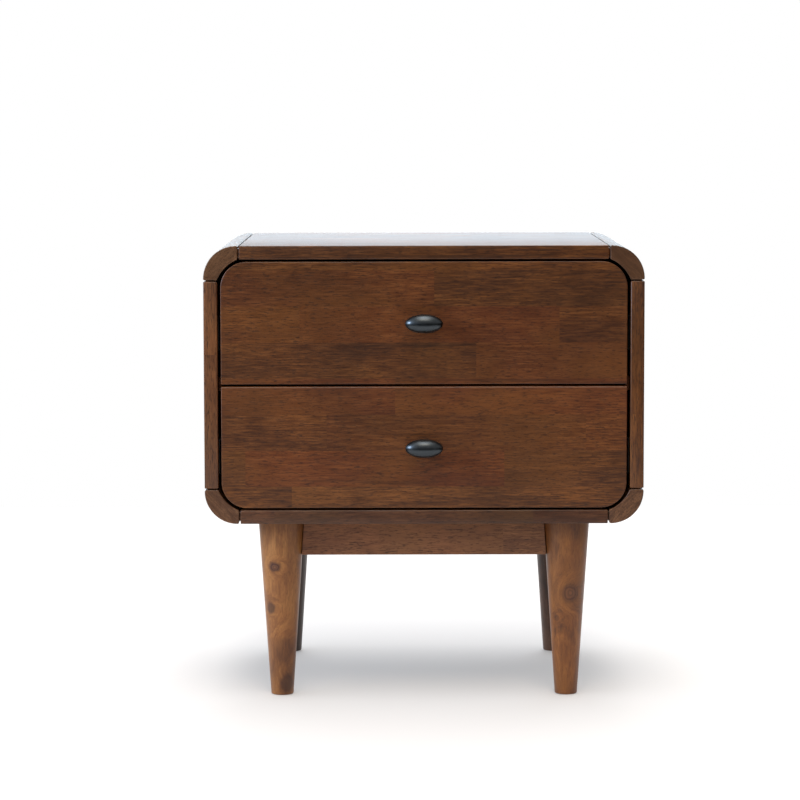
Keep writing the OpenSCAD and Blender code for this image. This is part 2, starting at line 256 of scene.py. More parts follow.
# Rubberwood, glued up from finger-jointed staves, stained walnut brown under satin lacquer. The
# stain takes unevenly, so staves differ a little, and open pores show as short dark dashes.
stainedWood = {
    "dark": "#3b2010",
    "mid": "#583113",
    "light": "#76461d",
    "red": "#612b0e",
    "yellow": "#633914",
    "poreColor": "#241206",
    "toneStops": (0.37, 0.5, 0.63),  # where the dark, middle and light tones sit
    "redFrom": 0.45,  # share of the staves that stay plain
    "redShare": 0.45,
    "clouds": {"scale": 6.0, "range": (0.45, 0.65), "share": 0.55},  # yellower patches
    "blotches": {"scale": 8.0, "shade": (0.78, 1.2)},  # darker and lighter patches
    "staveWidth": 0.046,
    "staveLength": 0.33,
    "staveContrast": 0.2,
    "staveShift": 3.0,
    "figure": (6, 26, 26),  # waves per metre along the fibres and across them
    "figureShare": 0.41,
    "lines": (38, 560, 560),
    "pores": (120, 850, 850),  # real pores are 0.3 mm wide, drawn at about 1 mm so that they show
    "streaks": (2.2, 95, 95),
    "poreRange": (0.53, 0.66),
    "poreDepth": 0.7,
    "streakRange": (0.64, 0.74),
    "streakDepth": 0.45,
    "roughness": (0.34, 0.46),
    "bump": 0.12,
    "bumpHeight": 0.0004,
    "ior": 1.46,
    "turn": 0.0,  # degrees about Y
    "knots": [],
}


def woodMaterial(name, look, fibres, rows, seed):
    material, tree = newMaterial(name)
    third = ({"X", "Y", "Z"} - {fibres, rows}).pop()
    place = addNode(tree, "ShaderNodeTexCoord").outputs["Object"]
    if look["turn"]:
        place = addNode(tree, "ShaderNodeMapping", {"Rotation": (0, math.radians(look["turn"]), 0)},
                        {"Vector": place}).outputs[0]
    axes = addNode(tree, "ShaderNodeSeparateXYZ", {}, {0: place}).outputs

    # Which stave a point is in, and a random colour for each
    row = addNode(tree, "ShaderNodeMath",
                  {"operation": "MULTIPLY_ADD", 1: 1 / look["staveWidth"], 2: seed},
                  {0: axes[rows]}).outputs[0]
    row = addNode(tree, "ShaderNodeMath", {"operation": "FLOOR"}, {0: row}).outputs[0]
    rowRandom = addNode(tree, "ShaderNodeTexWhiteNoise", {"noise_dimensions": "1D"},
                        {"W": row}).outputs["Value"]
    column = addNode(tree, "ShaderNodeMath",
                     {"operation": "MULTIPLY_ADD", 1: 1 / look["staveLength"]},
                     {0: axes[fibres], 2: rowRandom}).outputs[0]
    column = addNode(tree, "ShaderNodeMath", {"operation": "FLOOR"}, {0: column}).outputs[0]
    cell = addNode(tree, "ShaderNodeCombineXYZ", {2: seed}, {0: row, 1: column}).outputs[0]
    stave = addNode(tree, "ShaderNodeTexWhiteNoise", {"noise_dimensions": "3D"},
                    {"Vector": cell})
    staveTone = addNode(tree, "ShaderNodeSeparateColor", {}, {0: stave.outputs["Color"]}).outputs

    # The fibres' own frame, moved by the stave so that the grain breaks at each joint
    inFibres = addNode(tree, "ShaderNodeCombineXYZ", {},
                       {0: axes[fibres], 1: axes[rows], 2: axes[third]}).outputs[0]
    shift = addNode(tree, "ShaderNodeVectorMath", {"operation": "SCALE",
                                                     "Scale": look["staveShift"]},
                    {0: stave.outputs["Color"]}).outputs[0]
    inFibres = addNode(tree, "ShaderNodeVectorMath", {"operation": "ADD"},
                       {0: inFibres, 1: shift}).outputs[0]
    inFibres, knotMask, knotRings = addKnots(tree, place, inFibres, look["knots"])

    def layer(scale, detail, distortion):
        scaled = addNode(tree, "ShaderNodeMapping", {"Scale": scale, "Location": (seed, seed, 0)},
                         {"Vector": inFibres}).outputs[0]
        return addNode(tree, "ShaderNodeTexNoise",
                       {"Scale": 1.0, "Detail": detail, "Roughness": 0.6,
                        "Distortion": distortion}, {"Vector": scaled}).outputs[0]

    figure = layer(look["figure"], detail=5, distortion=0.8)
    lines = layer(look["lines"], detail=3, distortion=0.1)
    poreNoise = layer(look["pores"], detail=2, distortion=0.0)
    streakNoise = layer(look["streaks"], detail=2, distortion=0.5)
    tone = addNode(tree, "ShaderNodeMix", {"data_type": "FLOAT", 0: look["figureShare"]},
                   {2: lines, 3: figure}).outputs[0]
    ramp = addNode(tree, "ShaderNodeValToRGB", {}, {0: tone})
    tones = [linear(look[tint]) for tint in ("dark", "mid", "light")]
    setStops(ramp, list(zip(look["toneStops"], tones)))
    color = ramp.outputs[0]

    # Stave by stave: some redder, some darker
    redness = addNode(tree, "ShaderNodeMapRange",
                      {"From Min": look["redFrom"], "To Max": look["redShare"]},
                      {"Value": staveTone["Green"]}).outputs[0]
    color = addNode(tree, "ShaderNodeMix", {"data_type": "RGBA", 7: linear(look["red"])},
                    {0: redness, 6: color}).outputs[2]
    cloudLook, blotchLook = look["clouds"], look["blotches"]
    clouds = addNode(tree, "ShaderNodeTexNoise", {"Scale": cloudLook["scale"], "Detail": 3},
                     {"Vector": inFibres}).outputs[0]
    clouds = addNode(tree, "ShaderNodeMapRange",
                     {"interpolation_type": "SMOOTHSTEP", "From Min": cloudLook["range"][0],
                      "From Max": cloudLook["range"][1], "To Max": cloudLook["share"]},
                     {"Value": clouds}).outputs[0]
    color = addNode(tree, "ShaderNodeMix", {"data_type": "RGBA", 7: linear(look["yellow"])},
                    {0: clouds, 6: color}).outputs[2]
    strength = look["staveContrast"] / 2
    shade = addNode(tree, "ShaderNodeMapRange", {"To Min": 1 - strength, "To Max": 1 + strength},
                    {"Value": staveTone["Red"]}).outputs[0]
    blotch = addNode(tree, "ShaderNodeTexNoise", {"Scale": blotchLook["scale"], "Detail": 3},
                     {"Vector": place}).outputs[0]
    blotch = addNode(tree, "ShaderNodeMapRange",
                     {**noiseRange, "To Min": blotchLook["shade"][0],
                      "To Max": blotchLook["shade"][1]}, {"Value": blotch}).outputs[0]
    shade = addNode(tree, "ShaderNodeMath", {"operation": "MULTIPLY"},
                    {0: shade, 1: blotch}).outputs[0]
    color = addNode(tree, "ShaderNodeVectorMath", {"operation": "SCALE"},
                    {0: color, "Scale": shade}).outputs[0]

    # Pores and dark mineral streaks
    pores = addNode(tree, "ShaderNodeMapRange",
                    {"interpolation_type": "SMOOTHSTEP", "From Min": look["poreRange"][0],
                     "From Max": look["poreRange"][1], "To Max": look["poreDepth"]},
                    {"Value": poreNoise}).outputs[0]
    streaks = addNode(tree, "ShaderNodeMapRange",
                      {"interpolation_type": "SMOOTHSTEP", "From Min": look["streakRange"][0],
                       "From Max": look["streakRange"][1], "To Max": look["streakDepth"]},
                      {"Value": streakNoise}).outputs[0]
    marks = addNode(tree, "ShaderNodeMath", {"operation": "MAXIMUM"},
                    {0: pores, 1: streaks}).outputs[0]
    color = addNode(tree, "ShaderNodeMix", {"data_type": "RGBA", 7: linear(look["poreColor"])},
                    {0: marks, 6: color}).outputs[2]
    if knotMask is not None:
        knotColor = addNode(tree, "ShaderNodeMix",
                            {"data_type": "RGBA", 6: linear(look["knotDark"]),
                             7: linear(look["knotLight"])}, {0: knotRings}).outputs[2]
        color = addNode(tree, "ShaderNodeMix", {"data_type": "RGBA"},
                        {0: knotMask, 6: color, 7: knotColor}).outputs[2]

    roughness = addNode(tree, "ShaderNodeMapRange",
                        {**noiseRange, "To Min": look["roughness"][0],
                         "To Max": look["roughness"][1]}, {"Value": lines}).outputs[0]
    relief = addNode(tree, "ShaderNodeMath", {"operation": "SUBTRACT"},
                     {0: lines, 1: pores}).outputs[0]
    bump = addNode(tree, "ShaderNodeBump", {"Strength": look["bump"],
                                               "Distance": look["bumpHeight"]},
                   {"Height": relief}).outputs[0]
    surface = addNode(tree, "ShaderNodeBsdfPrincipled", {"IOR": look["ior"]},
                      {"Base Color": color, "Roughness": roughness, "Normal": bump})
    addNode(tree, "ShaderNodeOutputMaterial", {}, {"Surface": surface.outputs[0]})
    return material


# Reaches count a knot's own radius as 1
knotLook = {
    "wobbleScale": 140.0,
    "wobble": 0.004,  # metres
    "rim": (1.3, 0.65),  # where a knot begins to show and where it shows in full
    "rings": 17.0,
    "ringSwing": 0.3,
    "ringTone": 0.85,
    "bend": (2.8, 0.8),  # where the fibres begin to bend and where they bend most
    "bendReach": 1.3,
}


# Knots bend the fibres round them and show as flattened discs, ringed inside and dark at the rim
def addKnots(tree, place, inFibres, knots):
    mask, rings = None, None
    look = knotLook
    sway = Vector((1, 1, 1)) * look["wobble"]
    for knot in knots:
        wobble = addNode(tree, "ShaderNodeTexNoise", {"Scale": look["wobbleScale"], "Detail": 2},
                         {"Vector": place}).outputs["Color"]
        wobbled = addNode(tree, "ShaderNodeVectorMath",
                          {"operation": "MULTIPLY_ADD", 1: tuple(sway)},
                          {0: wobble, 2: place}).outputs[0]
        centre = Vector(knot["place"]) + sway / 2
        offset = addNode(tree, "ShaderNodeVectorMath", {"operation": "SUBTRACT", 1: tuple(centre)},
                         {0: wobbled}).outputs[0]
        offset = addNode(tree, "ShaderNodeVectorMath",
                         {"operation": "MULTIPLY", 1: (1, 1, knot["flatness"])},
                         {0: offset}).outputs[0]
        away = addNode(tree, "ShaderNodeVectorMath", {"operation": "LENGTH"},
                       {0: offset}).outputs["Value"]
        away = addNode(tree, "ShaderNodeMath", {"operation": "DIVIDE", 1: knot["radius"]},
                       {0: away}).outputs[0]
        inside = addNode(tree, "ShaderNodeMapRange",
                         {"interpolation_type": "SMOOTHSTEP", "From Min": look["rim"][0],
                          "From Max": look["rim"][1], "To Max": knot["depth"]},
                         {"Value": away}).outputs[0]
        ring = addNode(tree, "ShaderNodeMath", {"operation": "MULTIPLY", 1: look["rings"]},
                       {0: away}).outputs[0]
        ring = addNode(tree, "ShaderNodeMath", {"operation": "SINE"}, {0: ring}).outputs[0]
        ring = addNode(tree, "ShaderNodeMath",
                       {"operation": "MULTIPLY_ADD", 1: look["ringSwing"], 2: look["ringTone"]},
                       {0: ring}).outputs[0]
        ring = addNode(tree, "ShaderNodeMath", {"operation": "SUBTRACT"},
                       {0: ring, 1: away}).outputs[0]
        pull = addNode(tree, "ShaderNodeMapRange",
                       {"interpolation_type": "SMOOTHSTEP", "From Min": look["bend"][0],
                        "From Max": look["bend"][1],
                        "To Max": knot["radius"] * look["bendReach"]}, {"Value": away}).outputs[0]
        push = addNode(tree, "ShaderNodeCombineXYZ", {}, {1: pull, 2: pull}).outputs[0]
        inFibres = addNode(tree, "ShaderNodeVectorMath", {"operation": "ADD"},
                           {0: inFibres, 1: push}).outputs[0]
        if mask is None:
            mask, rings = inside, ring
        else:
            rings = addNode(tree, "ShaderNodeMix", {"data_type": "FLOAT"},
                            {0: inside, 2: rings, 3: ring}).outputs[0]
            mask = addNode(tree, "ShaderNodeMath", {"operation": "MAXIMUM"},
                           {0: mask, 1: inside}).outputs[0]
    return inFibres, mask, rings


# The end of a metal's nodes: two colours mixed, roughness and relief out of noises
def addMetalSurface(tree, look, share, roughNoise, reliefNoise, options):
    color = addNode(tree, "ShaderNodeMix",
                    {"data_type": "RGBA", 6: linear(look["color"]), 7: linear(look["worn"])},
                    {0: share}).outputs[2]
    roughness = addNode(tree, "ShaderNodeMapRange",
                        {**look["roughFrom"], "To Min": look["roughness"][0],
                         "To Max": look["roughness"][1]}, {"Value": roughNoise}).outputs[0]
    links = {"Base Color": color, "Roughness": roughness}
    if reliefNoise:
        links["Normal"] = addNode(tree, "ShaderNodeBump",
                                  {"Strength": look["bump"], "Distance": look["bumpHeight"]},
                                  {"Height": reliefNoise}).outputs[0]
    surface = addNode(tree, "ShaderNodeBsdfPrincipled", options, links)
    addNode(tree, "ShaderNodeOutputMaterial", {}, {"Surface": surface.outputs[0]})


# Cast zinc with a dark gunmetal plating, brushed soft: grey metal with broad highlights
gunmetalLook = {
    "color": "#42474b",
    "worn": "#4e5358",
    "wearRange": (0.5, 0.75),
    "wearShare": 0.5,
    "clouds": 160.0,
    "speckle": 900.0,
    "roughFrom": noiseRange,
    "roughness": (0.27, 0.37),
    "bump": 0.05,
    "bumpHeight": 0.0002,
}


def gunmetalMaterial(look):
    material, tree = newMaterial("gunmetal_plated_zinc")
    place = addNode(tree, "ShaderNodeTexCoord").outputs["Object"]
    cloud = addNode(tree, "ShaderNodeTexNoise", {"Scale": look["clouds"], "Detail": 3},
                    {"Vector": place}).outputs[0]
    grain = addNode(tree, "ShaderNodeTexNoise", {"Scale": look["speckle"], "Detail": 2},
                    {"Vector": place}).outputs[0]
    wear = addNode(tree, "ShaderNodeMapRange",
                   {"From Min": look["wearRange"][0], "From Max": look["wearRange"][1],
                    "To Max": look["wearShare"]}, {"Value": cloud}).outputs[0]
    addMetalSurface(tree, look, wear, cloud, grain, {"Metallic": 1.0})
    return material


# Rolled steel with bright zinc: pale metal, faint rolling lines along the rail and a dull spangle
zincLook = {
    "color": "#b9bcc0",
    "worn": "#8f9296",
    "rolling": (900, 12, 900),
    "spangle": 260.0,
    "roughFrom": {"From Min": 0.2, "From Max": 0.7},
    "roughness": (0.28, 0.45),
}


def zincMaterial(look):
    material, tree = newMaterial("zinc_plated_steel")
    place = addNode(tree, "ShaderNodeTexCoord").outputs["Object"]
    stretched = addNode(tree, "ShaderNodeMapping", {"Scale": look["rolling"]},
                        {"Vector": place}).outputs[0]
    rolled = addNode(tree, "ShaderNodeTexNoise", {"Scale": 1.0, "Detail": 2},
                     {"Vector": stretched}).outputs[0]
    spangle = addNode(tree, "ShaderNodeTexVoronoi", {"Scale": look["spangle"]},
                      {"Vector": place})
    tone = addNode(tree, "ShaderNodeMix", {"data_type": "FLOAT", 0: 0.5},
                   {2: rolled, 3: spangle.outputs["Distance"]}).outputs[0]
    addMetalSurface(tree, look, tone, tone, None, {"Metallic": 1.0})
    return material


# Slides: rolled steel under black electro-coat, an even satin black with a fine orange-peel
blackCoatLook = {
    "color": "#1d1d1f",
    "worn": "#2b2b2e",
    "peel": 700.0,
    "scuffs": (600, 20, 600),
    "roughFrom": noiseRange,
    "roughness": (0.34, 0.5),
    "bump": 0.1,
    "bumpHeight": 0.0001,
    "ior": 1.5,
}


def blackCoatMaterial(look):
    material, tree = newMaterial("black_electro_coated_steel")
    place = addNode(tree, "ShaderNodeTexCoord").outputs["Object"]
    peel = addNode(tree, "ShaderNodeTexNoise", {"Scale": look["peel"], "Detail": 2},
                   {"Vector": place}).outputs[0]
    scuff = addNode(tree, "ShaderNodeMapping", {"Scale": look["scuffs"]},
                    {"Vector": place}).outputs[0]
    scuff = addNode(tree, "ShaderNodeTexNoise", {"Scale": 1.0, "Detail": 3},
                    {"Vector": scuff}).outputs[0]
    addMetalSurface(tree, look, scuff, scuff, peel, {"IOR": look["ior"]})
    return material


# Corner blocks: one piece each, the fibres from front to rear and the rings along the chord, a
# little greyer since end grain drinks more stain
blockWood = dict(stainedWood)
blockWood.update({"dark": "#3d2617", "mid": "#593b26", "light": "#775236", "red": "#5f3a22",
                  "yellow": "#5e4027", "staveWidth": 3.0, "staveLength": 3.0, "staveContrast": 0.0,
                  "figure": (7, 60, 14), "lines": (30, 560, 90), "streaks": (2.2, 95, 20),
                  "bump": 0.05, "turn": 45.0})
blockWoodDown = dict(blockWood)
blockWoodDown["turn"] = -45.0
# The bottom board comes from a darker stave, the left side from a paler one
bottomWood = dict(stainedWood)
bottomWood.update({"dark": "#301c12", "mid": "#472a17", "light": "#5e3b22", "red": "#4c2613",
                   "yellow": "#4e3218"})
leftWood = dict(stainedWood)
leftWood.update({"dark": "#4a2d1c", "mid": "#663f23", "light": "#82522c", "red": "#6e3a1c",
                 "yellow": "#6c4724"})
# Apron boards, a paler batch, and made paler still as painted light, which makes up for the shade
# that the case's overhang casts on them
apronWoodPaleWithPaintedLight = dict(stainedWood)
apronWoodPaleWithPaintedLight.update({"dark": "#5a3825", "mid": "#7b4e30", "light": "#976540", "red": "#7f4a2c",
                  "yellow": "#805431"})
# The legs are turned from one piece each and take the stain lighter, the left one most
legWood = dict(stainedWood)
legWood.update({
    "dark": "#5c3617", "mid": "#7d4f25", "light": "#996936", "red": "#7d4722",
    "yellow": "#8a5d2c",
    "knotDark": "#35180d", "knotLight": "#6a3f26", "staveWidth": 2.0, "staveLength": 2.0,
    "staveContrast": 0.0, "figure": (16, 38, 38), "lines": (50, 300, 300),
    "figureShare": 0.65, "streakDepth": 0.15, "poreDepth": 0.3,
})
legWoods = {"leg_front_left": legWood}
legWoods["leg_front_right"] = dict(legWood)
legWoods["leg_front_right"].update({"dark": "#4e290f", "mid": "#6d3e17", "light": "#865223",
                                    "red": "#6d3915", "yellow": "#72461b"})
# The rear pair is painted darker, knots and all, as painted shade for the shadow of the case above
# them; the left one darkest
legWoods["leg_rear_left"] = dict(legWood)
legWoods["leg_rear_left"].update({"dark": "#291a14", "mid": "#3a251b", "light": "#4b3224",
                                  "red": "#3e261b", "yellow": "#3d291d",
                                  "knotDark": "#1c0f0a", "knotLight": "#3a261c"})
legWoods["leg_rear_right"] = dict(legWood)
legWoods["leg_rear_right"].update({"dark": "#3c2619", "mid": "#523423", "light": "#68442f",
                                   "red": "#563524", "yellow": "#563a26",
                                   "knotDark": "#1c0f0a", "knotLight": "#3a261c"})
# Drawer boxes: the same wood, unstained under clear lacquer
paleWood = dict(stainedWood)
paleWood.update({
    "dark": "#b58a5a", "mid": "#cda473", "light": "#dfbd8f", "red": "#cf9f6c", "yellow": "#d2ab74",
    "poreColor": "#7d5a38", "staveContrast": 0.14, "poreDepth": 0.35, "streakDepth": 0.2,
    "roughness": (0.42, 0.55),
})
# Plywood face veneer: one broad sheet, no staves
plyVeneer = dict(paleWood)
plyVeneer.update({"staveWidth": 2.0, "staveLength": 4.0, "staveContrast": 0.0,
                  "dark": "#b08550", "mid": "#c59c68", "light": "#d6b280"})

# The back: plywood with a stained face
stainedPly = dict(stainedWood)
stainedPly.update({"staveWidth": 2.0, "staveLength": 4.0, "staveContrast": 0.0,
                   "figure": (2.5, 22, 22)})

woodAlongX = woodMaterial("stained_rubberwood_crosswise", stainedWood, "X", "Y", 1.0)
woodFronts = woodMaterial("stained_rubberwood_fronts", stainedWood, "X", "Z", 4.0)
woodBottom = woodMaterial("stained_rubberwood_bottom", bottomWood, "X", "Y", 12.0)
woodLeft = woodMaterial("stained_rubberwood_left", leftWood, "Z", "Y", 13.0)
woodUpright = woodMaterial("stained_rubberwood_upright", stainedWood, "Z", "Y", 7.0)
blockRising = woodMaterial("stained_rubberwood_blocks_rising", blockWood, "Y", "Z", 9.5)
blockFalling = woodMaterial("stained_rubberwood_blocks_falling", blockWoodDown, "Y", "Z", 14.5)
apronAlongXPaintedLight = woodMaterial("stained_rubberwood_aprons_painted_light", apronWoodPaleWithPaintedLight, "X", "Z", 6.0)
apronAlongYPaintedLight = woodMaterial("stained_rubberwood_side_aprons_painted_light", apronWoodPaleWithPaintedLight, "Y", "Z", 10.0)
paleAlongX = woodMaterial("clear_rubberwood_crosswise", paleWood, "X", "Z", 2.0)
paleAlongY = woodMaterial("clear_rubberwood_lengthwise", paleWood, "Y", "Z", 5.0)
plyBottom = woodMaterial("clear_plywood", plyVeneer, "X", "Y", 3.5)
plyBack = woodMaterial("stained_plywood_back", stainedPly, "Z", "X", 8.5)
gunmetal = gunmetalMaterial(gunmetalLook)
zinc = zincMaterial(zincLook)
blackCoat = blackCoatMaterial(blackCoatLook)


near = 1e-5  # metres, for picking faces and edges by their place
aligned = 0.99  # cosine, for picking faces and edges by their direction
edgeLook = {"sharpAngle": 30, "easeSteps": 3}


# A cuboid to start a board from
def startBoard(low, high):
    shape = bmesh.new()
    size = high - low
    bmesh.ops.create_cube(shape, size=1.0,
                          matrix=Matrix.Translation((low + high) / 2) @ Matrix.Diagonal(size.to_4d()))
    return shape


# Edges that run along an axis and whose middle passes a test
def edgesAlong(shape, axis, test=lambda p: True):
    index = "xyz".index(axis)
    found = []
    for edge in shape.edges:
        start, end = (vert.co for vert in edge.verts)
        run = end - start
        if abs(run[index]) > aligned * run.length and test((start + end) / 2):
            found.append(edge)
    return found


def roundEdges(shape, edges, radius, segments):
    bmesh.ops.bevel(shape, geom=edges, offset=radius, offset_type="OFFSET", segments=segments,
                    profile=0.5, affect="EDGES", material=-1)


# Makes a bmesh a piece that stands for a CAD node and rides on its body
def finishPiece(name, shape, node, material, ease=0.0):
    bmesh.ops.recalc_face_normals(shape, faces=shape.faces)
    for face in shape.faces:
        face.smooth = True
    data = bpy.data.meshes.new(name)
    shape.to_mesh(data)
    shape.free()
    sharpAngle = math.radians(edgeLook["sharpAngle"])
    data.set_sharp_from_angle(angle=sharpAngle)
    data.materials.append(material)
    piece = bpy.data.objects.new(name, data)
    bpy.context.scene.collection.objects.link(piece)
    if ease:
        bevel = piece.modifiers.new("eased_edges", "BEVEL")
        bevel.width = ease
        bevel.segments = edgeLook["easeSteps"]
        bevel.limit_method = "ANGLE"
        bevel.angle_limit = sharpAngle
        bevel.harden_normals = True
    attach(piece, bodyOf[node])
    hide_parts(node)


# Case: four panels between four quarter-round corner blocks
print("case")
caseLook = {
    "ease": 0.001,
    "easeSteps": 3,
    "easeAngle": 60,  # degrees, sharper edges are eased
    "innerEase": 0.0018,  # the front edge next to the drawers
    "innerSteps": 4,
    "flatAngle": 1,  # degrees, faces closer than this are joined into one
    "jointLength": 0.1,  # an outer edge is a joint if it runs back further than this
    "slit": 0.002,  # the dark line at each joint
    "slitDepth": 0.005,
    "chamfer": 0.0007,  # each side of a joint's V, on the outside only
    "innerRadius": 0.048,
    "outerFlat": 0.00175,
    "outerArcSteps": 20,
    "innerArcSteps": 22,
    "backRadius": 0.032,  # corners of the rebate that the back sits in
}


# Draws the faces at the rear end out to the case's rear edge, past the back's rebate
def extrudeRear(shape, start, end, chosen):
    rear = [f for f in shape.faces if all(abs(v.co.y - start) < near for v in f.verts)
            and chosen(f.calc_center_median())]
    raised = bmesh.ops.extrude_face_region(shape, geom=rear)
    newVerts = [v for v in raised["geom"] if isinstance(v, bmesh.types.BMVert)]
    bmesh.ops.translate(shape, vec=(0, end - start, 0), verts=newVerts)
    bmesh.ops.delete(shape, geom=[f for f in rear if f.is_valid], context="FACES")


# A panel with a rebate for the back, its ends stepped back round their rim, which leaves a slit at
# each joint
def makePanel(node, material, look):
    low, high = nodeBox(node)
    along = Vector((1, 0, 0)) if high.x - low.x > high.z - low.z else Vector((0, 0, 1))
    backLow, backHigh = nodeBox("back_panel")
    rebate = backLow.y
    shape = startBoard(low + along * look["slit"],
                       Vector((high.x, rebate, high.z)) - along * look["slit"])
    centre = (backLow + backHigh) / 2
    outward = (low + high) / 2 - centre
    outward = Vector((0, 0, outward.z)) if along.x else Vector((outward.x, 0, 0))
    outward.normalize()
    reach = abs((backHigh - backLow).dot(outward)) / 2
    bmesh.ops.bisect_plane(shape, geom=shape.verts[:] + shape.edges[:] + shape.faces[:],
                           plane_co=centre + outward * reach, plane_no=outward)
    extrudeRear(shape, rebate, high.y, lambda p: (p - centre).dot(outward) > reach)
    bmesh.ops.dissolve_limit(shape, angle_limit=math.radians(look["flatAngle"]),
                             verts=shape.verts, edges=shape.edges)
    outside = max(shape.faces, key=lambda f: f.normal.dot(outward))
    joints = [e for e in outside.edges
              if abs((e.verts[0].co - e.verts[1].co).y) > look["jointLength"]]
    roundEdges(shape, joints, look["chamfer"], 1)
    inner = edgesAlong(shape, "x" if along.x else "z", lambda p: p.y < low.y + near
                       and (p - (low + high) / 2).dot(outward) < 0)
    roundEdges(shape, inner, look["innerEase"], look["innerSteps"])
    easeAngle = math.radians(look["easeAngle"])
    rest = [e for e in shape.edges if e.calc_face_angle() > easeAngle and e.is_convex]
    roundEdges(shape, rest, look["ease"], look["easeSteps"])
    ends = sorted((f for f in shape.faces if abs(f.normal.dot(along)) > aligned),
                  key=lambda f: -f.calc_area())[:2]
    bmesh.ops.inset_individual(shape, faces=ends, thickness=look["slitDepth"] - look["ease"])
    for end in ends:
        away = along if end.normal.dot(along) > 0 else -along
        raised = bmesh.ops.extrude_discrete_faces(shape, faces=[end])["faces"][0]
        bmesh.ops.translate(shape, vec=away * look["slit"], verts=raised.verts)
    finishPiece("case_" + node, shape, node, material)


def makeCornerBlock(node, material, look):
    low, high = nodeBox(node)
    size = high - low
    thick = nodeBox("top_panel")[1].z - nodeBox("top_panel")[0].z
    flat = look["outerFlat"]
    innerEnd = size.x - thick
    centre = innerEnd / 2 - math.sqrt(look["innerRadius"] ** 2 - innerEnd ** 2 / 2) / math.sqrt(2)
    halfSweep = math.asin(innerEnd / math.sqrt(2) / look["innerRadius"])

    # Each edge in the block's own corner: a straight run, an arc about a point on the diagonal and
    # a straight run
    shape = bmesh.new()

    def edgeLoop(start, arcStart, hub, sweep, steps):
        before = set(shape.edges)
        first = shape.verts.new((arcStart[0], 0, arcStart[1]))
        if start:
            shape.edges.new((shape.verts.new((start[0], 0, start[1])), first))
        arc = bmesh.ops.spin(shape, geom=[first], cent=(hub, 0, hub), axis=(0, -1, 0),
                             angle=sweep, steps=steps)
        last = next(v for v in arc["geom_last"] if isinstance(v, bmesh.types.BMVert))
        if start:
            shape.edges.new((last, shape.verts.new((start[1], 0, start[0]))))
        return [e for e in shape.edges if e not in before]

    backEdge = nodeBox("back_panel")[1].x - (abs(low.x + high.x) - size.x) / 2
    backCentre = backEdge - look["backRadius"]
    outer = edgeLoop((size.x - look["chamfer"], 0), (size.x, flat), flat, math.pi / 2,
                     look["outerArcSteps"])
    rebate = edgeLoop((backEdge, 0), (backEdge, backCentre), backCentre, math.pi / 2,
                      look["outerArcSteps"])
    inner = edgeLoop(None, (innerEnd, 0), centre, 2 * halfSweep, look["innerArcSteps"])
    bmesh.ops.bridge_loops(shape, edges=outer + rebate)
    bmesh.ops.bridge_loops(shape, edges=rebate + inner)
    run = nodeBox("back_panel")[0].y - low.y
    raised = bmesh.ops.extrude_face_region(shape, geom=shape.faces)
    newVerts = [v for v in raised["geom"] if isinstance(v, bmesh.types.BMVert)]
    bmesh.ops.translate(shape, vec=(0, run, 0), verts=newVerts)
    extrudeRear(shape, run, size.y, lambda p: math.hypot(
        max(p.x - backCentre, 0), max(p.z - backCentre, 0)) > look["backRadius"])

    right = low.x + high.x > 0
    top = low.z + high.z > (nodeBox("top_panel")[1] + nodeBox("bottom_panel")[0]).z
    corner = Vector((low.x if right else high.x, low.y, low.z if top else high.z))
    turn = Matrix.Diagonal((1 if right else -1, 1, 1 if top else -1, 1))
    bmesh.ops.transform(shape, matrix=Matrix.Translation(corner) @ turn, verts=shape.verts)
    finishPiece("case_" + node, shape, node, material, look["ease"])


makePanel("top_panel", woodAlongX, caseLook)
makePanel("bottom_panel", woodBottom, caseLook)
makePanel("left_side_panel", woodLeft, caseLook)
makePanel("right_side_panel", woodUpright, caseLook)
for node, material in (("top_left", blockRising), ("top_right", blockFalling),
                       ("bottom_left", blockFalling), ("bottom_right", blockRising)):
    makeCornerBlock("corner_block_" + node, material, caseLook)


def makeBoard(node, material, ease, trim=(0, 0, 0)):
    low, high = nodeBox(node)
    trim = Vector(trim)
    finishPiece("board_" + node, startBoard(low + trim, high - trim), node, material, ease)


dividerLook = {"ease": 0.0008}
for node in ("front_divider_rail", "rear_divider_rail"):
    makeBoard(node, woodFronts, dividerLook["ease"])

backLook = {"cornerRadius": 0.032, "ease": 0.0004, "steps": 12}


def makeBack(look):
    low, high = nodeBox("back_panel")
    shape = startBoard(low, high)
    roundEdges(shape, edgesAlong(shape, "y"), look["cornerRadius"], look["steps"])
    finishPiece("case_back_panel", shape, "back_panel", plyBack, look["ease"])


makeBack(backLook)

# Drawers
print("drawers")
frontLook = {
    "cornerRadius": 0.033,
    "ease": 0.0012,
    "steps": 18,
    "topRound": 0.0026,  # the lower front's top edge, which catches the light
    "topSteps": 5,
}
boxLook = {"ease": 0.0012, "bottomEase": 0.0004, "housing": 0.004}


def makeFront(level, look):
    node = level + "_front"
    low, high = nodeBox(node)
    shape = startBoard(low, high)
    outer = high.z if level == "upper" else low.z
    corners = edgesAlong(shape, "y", lambda p: abs(p.z - outer) < near)
    roundEdges(shape, corners, look["cornerRadius"], look["steps"])
    if level == "lower":
        top = edgesAlong(shape, "x", lambda p: p.z > high.z - near and p.y < low.y + near)
        roundEdges(shape, top, look["topRound"], look["topSteps"])
    finishPiece("drawer_" + node, shape, node, woodFronts, look["ease"])


housing = boxLook["housing"]
for level in ("upper", "lower"):
    makeFront(level, frontLook)
    for end in ("_box_front", "_box_back"):
        makeBoard(level + end, paleAlongX, boxLook["ease"], (housing, 0, 0))
    for side in ("_box_left_side", "_box_right_side"):
        makeBoard(level + side, paleAlongY, boxLook["ease"])
    makeBoard(level + "_box_bottom", plyBottom, boxLook["bottomEase"], (housing, housing, 0))

